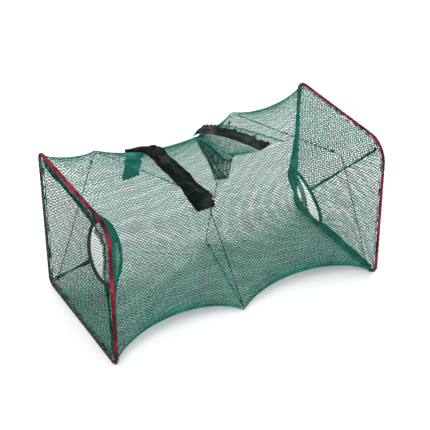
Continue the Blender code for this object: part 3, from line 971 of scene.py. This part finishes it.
def far_strip():
    """The loop tape on the lip of the mouth: it stands up, frayed on top, with its front end drawn out."""
    columns, rows = 120, 13
    u, v = np.linspace(0, 1, columns), np.linspace(0, 1, rows)
    rng = np.random.default_rng(3)
    foot = far_foot(u)
    along = unit(np.array((FAR_FOOT_FRONT[0] - FAR_FOOT_BACK[0], FAR_FOOT_FRONT[1] - FAR_FOOT_BACK[1], 0.0)))
    lean = unit(np.array((0.30, 0.15, 0.94)))
    face = unit(np.array((-0.80, -0.42, 0.45)))
    frayed = np.convolve(rng.normal(0, 0.0018, columns + 20), np.ones(3) / 3, "same")[10:columns + 10]
    frayed += 0.0007 * np.sin(2 * pi * 9 * u) + 0.0005 * np.sin(2 * pi * 17 * u + 1)
    full = np.minimum(u / 0.16, 1.0) ** 0.6
    width = full * (0.0150 + frayed)
    flare = 0.0175 * np.maximum((u - 0.72) / 0.28, 0.0) ** 1.3
    curl = 0.0030 * (v[None, :] ** 2) * (1 + 0.6 * np.sin(11 * u))[:, None]
    crease = 0.0014 * np.sin(pi * 3 * v[None, :] + 2.5 * np.sin(7 * u)[:, None]) * full[:, None]
    ridge = crease + rng.normal(0, 0.00018, (columns, rows))
    base = foot[:, None, :] + lean * (width[:, None] * v[None, :])[..., None] - face * curl[..., None]
    base = base + along * (flare[:, None] * v[None, :])[..., None] + face * ridge[..., None]
    thick = 0.0016 * (1 - 0.4 * v)[None, :] * np.maximum(full, 0.3)[:, None]
    shape = Shape()
    slab(shape, base + face * thick[..., None], base)
    piece("far_loop_strip", shape, LOOP_TAPE, "mouth_flap", ["far_closure_strip"], LIP_FOLD)
    threads = Shape()
    for k in range(8, columns - 2, 2):
        for row in (1, rows - 3):
            spot = base[k, row] + face * 0.0018
            after = base[k + 1, row] + face * 0.0018
            straight_yarns(threads, spot[None], after[None], 0.00020)
    for k in rng.integers(8, columns - 2, 46):
        start = base[k, rows - 1] - lean * 0.001
        end = start + lean * rng.uniform(0.0012, 0.0030) + rng.normal(0, 0.0007, 3)
        straight_yarns(threads, start[None], end[None], 0.00024)
    piece("far_strip_threads", threads, LOOP_TAPE, "mouth_flap", (), LIP_FOLD)


def mouth_flap():
    def surface(u, v):
        x = HINGE_BACK[0] + u * (HINGE_FRONT[0] - HINGE_BACK[0])
        y = HINGE_BACK[1] + u * (HINGE_FRONT[1] - HINGE_BACK[1])
        seam = on_top(x, y, 0.0022)
        lip = far_foot(u) + np.array((0.0012, 0.0006, 0.0015))
        return seam + (lip - seam) * v[..., None]

    shape = Shape()
    net(shape, surface, 42, 12, 61)
    made = piece("mouth_flap_yarns", shape, NET_YARN, "mouth_flap", ["mouth_flap_net"], LIP_FOLD)


def mouth_edge_point(w):
    """A point (x, y) of the mouth's front edge, w from 0 on the near side to 1 at the far strip."""
    edge = np.array(MOUTH_EDGE)
    places = np.linspace(0, 1, len(edge))
    return np.stack([np.interp(w, places, edge[:, 0]), np.interp(w, places, edge[:, 1])], axis=-1)


def pocket_surface(low, high, depth):
    """Loose net that fans out from the back of the mouth to its front edge and hangs by depth."""
    back = np.array(MOUTH_BACK)

    def surface(u, v):
        w = low + v * (high - low)
        flat = back + u[..., None] * (mouth_edge_point(w) - back)
        spot = on_top(flat[..., 0], flat[..., 1], -0.0008)
        slack = np.minimum(np.minimum(w, 1 - w) * 5, 1) * np.minimum((1 - u) * 5, 1) * np.minimum(u * 3, 1)
        spot[..., 2] -= slack * (depth + 0.0025 * np.sin(9 * w + 2.2 * u))
        spot[..., 2] += 0.0024 * np.clip((w - 0.92) / 0.08, 0, 1)
        return spot

    return surface


def mouth_pocket():
    """The mouth's loose net: a folded ear on the near side, darkened with painted shade, and a thinner part
    by the far strip.
    """
    for name, low, high, depth, material, steps in (
        ("ear", 0.0, 0.62, 0.010, SHADED_POCKET_YARN, (64, 34)), ("veil", 0.55, 1.0, 0.006, NET_YARN, (60, 30)),
    ):
        shape = Shape()
        net(shape, pocket_surface(low, high, depth), *steps, 71, wander=0.08, radius=0.00038)
        lower = pocket_surface(low, high, depth + 0.007)
        net(shape, lower, steps[0] - 8, steps[1] - 6, 72, wander=0.08, radius=0.00038)
        made = piece(f"mouth_{name}_yarns", shape, material, "left_frame", (), BODY_FOLD)
    # Ropes along the loose net's folds: the creases' gathered yarns, in the near-black cord colour as painted
    # shade in the folds
    folds = Shape()
    for w, start, stop in ((0.60, 0.42, 1.0), (0.30, 0.55, 0.97), (0.10, 0.70, 0.97)):
        u = np.linspace(start, stop, 40)
        path = pocket_surface(0, 1, 0.010)(u, w + 0.03 * np.sin(6 * u))
        edge_rope(folds, path + (0, 0, 0.0012), 3, 0.0006, 0.0005, 84)
    piece("mouth_fold_shade_rope", folds, CORD, "left_frame", (), BODY_FOLD)


def edge_rope(shape, path, strands, spread, radius, seed):
    """Yarns that run along a path and wander about it."""
    rng = np.random.default_rng(seed)
    s = np.linspace(0, 1, len(path))
    for _ in range(strands):
        sway = [
            spread * (np.sin(2 * pi * rng.uniform(4, 14) * s + rng.uniform(0, 2 * pi))) for _ in range(3)
        ]
        tube(shape, path + np.stack(sway, -1), radius, 5)


def hem_path(back, front, low, high, rise, shift=0.0035, count=70):
    t = np.linspace(low, high, count)
    x = back[0] + shift + t * (front[0] - back[0])
    y = back[1] + t * (front[1] - back[1])
    return on_top(x, y, rise)


def mouth_hems():
    near = Shape()
    edge_rope(near, hem_path(MOUTH_BACK, MOUTH_EDGE[0], 0.0, 1.0, 0.0004, shift=0.0), 4, 0.0006, 0.00050, 81)
    piece("mouth_near_hem_rope", near, SHADED_SEAM_YARN, "left_frame", ["mouth_near_hem"], BODY_FOLD)
    far = Shape()
    edge_rope(far, hem_path(HINGE_BACK, HINGE_FRONT, 0.0, 1.0, 0.0010), 3, 0.0004, 0.00042, 82)
    piece("mouth_far_hem_rope", far, NET_YARN, "mouth_lip", ["mouth_far_hem"], LIP_FOLD)
    front = Shape()
    spots = mouth_edge_point(np.linspace(0, 0.66, 60))
    edge_rope(front, on_top(spots[:, 0], spots[:, 1], 0.0004), 3, 0.0005, 0.00045, 83)
    piece("mouth_front_hem_rope", front, SHADED_SEAM_YARN, "left_frame", (), BODY_FOLD)


def coil_and_ties():
    route, corners = coil_route()
    wire = Shape()
    tube(wire, route, COIL_WIRE_R, 8)
    piece("coil_spring_wire", wire, SPRING_STEEL, "left_frame", ["coil_spring"], BODY_FOLD)
    for number in range(1, 7):
        along = unit(corners[number] - corners[number - 1])
        outward = unit(np.array((0.0, corners[number][1], corners[number][2] - MIDDLE_Z)))
        outward = unit(outward - along * outward.dot(along))
        shape = Shape()
        tie(shape, np.array(middle(f"coil_tie_{number}")), along, outward)
        name = f"coil_tie_{number}"
        piece(f"{name}_thread", shape, CORD, f"coil_corner_{number}", [name])
    for side, first, second, body in (("left", 0, 1, "left_frame"), ("right", -1, -2, "right_frame")):
        along = unit(corners[second] - corners[first])
        shape = Shape()
        tie(shape, np.array(middle(f"{side}_end_tie")), along, np.array((0.0, -1.0, 0.0)))
        piece(f"{side}_end_tie_thread", shape, CORD, body, [f"{side}_end_tie"])


def frames():
    for side, seed in (("left", 5), ("right", 6)):
        x, corners, _, _, facing, _ = FUNNELS[side]
        body = f"{side}_frame"
        tape = binding(x, corners, facing, seed)
        piece(f"{side}_binding_tape", tape, RED_TAPE, body, [f"{side}_frame_binding"])
        piece(f"{side}_hem_roll", hem_roll(x, corners, facing, seed), SHADED_SEAM_YARN, body)
        thread = lashing(x, corners, facing, 88, BINDING_R - 0.00005)
        piece(f"{side}_lashing", thread, CORD, body)


def carried_over():
    """CAD nodes that keep their shape get their finish here."""
    for name in ("left_frame_wire", "right_frame_wire"):
        dress(name, STEEL)
    for name in ("left_entrance_ring", "right_entrance_ring"):
        dress(name, RING_PLASTIC)


def dress(name, material):
    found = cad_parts[name]
    for number in range(len(found.material_slots)):
        found.material_slots[number].material = material
    if not found.material_slots:
        found.data.materials.append(material)


add_camera()
body_net()
for funnel_side in FUNNELS:
    for quarter_number in range(4):
        funnel_gusset(funnel_side, quarter_number)
    for seam_corner, seam_name in SEAM_CORNERS:
        funnel_seam(funnel_side, seam_corner, seam_name)
    ring_lashing(funnel_side)
    ring_veil(funnel_side)
frames()
coil_and_ties()
near_strip()
far_strip()
mouth_flap()
mouth_pocket()
mouth_hems()
carried_over()
add_studio()
